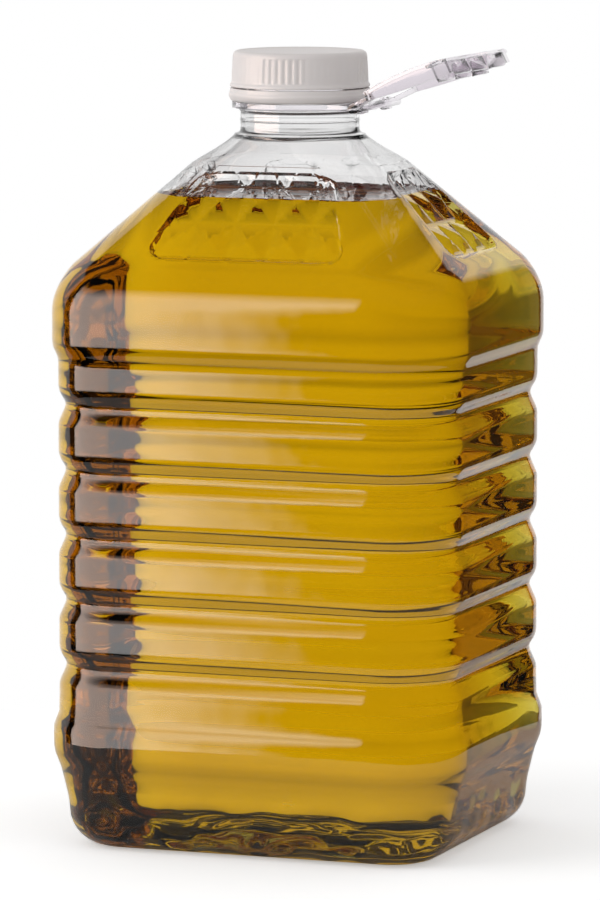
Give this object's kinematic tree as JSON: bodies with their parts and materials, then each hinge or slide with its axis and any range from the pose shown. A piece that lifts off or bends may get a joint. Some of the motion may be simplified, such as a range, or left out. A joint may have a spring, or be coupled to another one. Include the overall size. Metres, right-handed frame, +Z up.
{
  "type": "plastic oil bottle",
  "caption": "Large clear plastic bottle with a ribbed rounded-rectangle body, screw cap, tamper band and a fold-up carry handle on the neck, filled with olive oil.",
  "frame": {"origin": "centre of the base, on the surface that the bottle stands on", "axes": "+Z up along the neck, -Y towards the wide front face, +X towards the carry handle"},
  "size_m": [0.167, 0.1466, 0.3047],
  "materials": {
    "bottle_plastic": "clear, glossy blow-moulded polyester",
    "oil": "clear golden olive oil, a liquid",
    "cap_plastic": "warm white moulded polyethylene",
    "liner_foam": "white foamed polyethylene disc",
    "band_plastic": "warm white moulded polyethylene",
    "collar_plastic": "clear moulded plastic",
    "handle_plastic": "clear moulded plastic"
  },
  "bodies": {
    "bottle": {"bottle": "bottle_plastic", "olive_oil": "oil"},
    "liner": {"cap_liner": "liner_foam"},
    "cap": {"screw_cap": "cap_plastic"},
    "band": {"tamper_band": "band_plastic"},
    "collar": {"neck_collar": "collar_plastic"},
    "handle": {"carry_handle": "handle_plastic"}
  },
  "joints": [
    {"name": "cap_turn", "type": "hinge", "parent": "liner", "child": "cap", "pos_m": [0, 0, 0.3], "axis": [0, 0, 1], "range_deg": [0, 1800]},
    {"name": "cap_lift", "type": "slide", "parent": "bottle", "child": "liner", "axis": [0, 0, 1], "range_m": [0, 0.06]},
    {"name": "band_turn", "type": "hinge", "parent": "bottle", "child": "band", "pos_m": [0, 0, 0.2875], "axis": [0, 0, 1], "continuous": true},
    {"name": "collar_swivel", "type": "hinge", "parent": "bottle", "child": "collar", "pos_m": [0, 0, 0.284], "axis": [0, 0, 1], "continuous": true},
    {"name": "handle_fold", "type": "hinge", "parent": "collar", "child": "handle", "pos_m": [0.0304, 0, 0.284], "axis": [0, -1, 0], "range_deg": [-66, 64]}
  ],
  "couplings": [
    {"joint": "cap_lift", "follows": "cap_turn", "m_per_rad": 0.0019099}
  ]
}
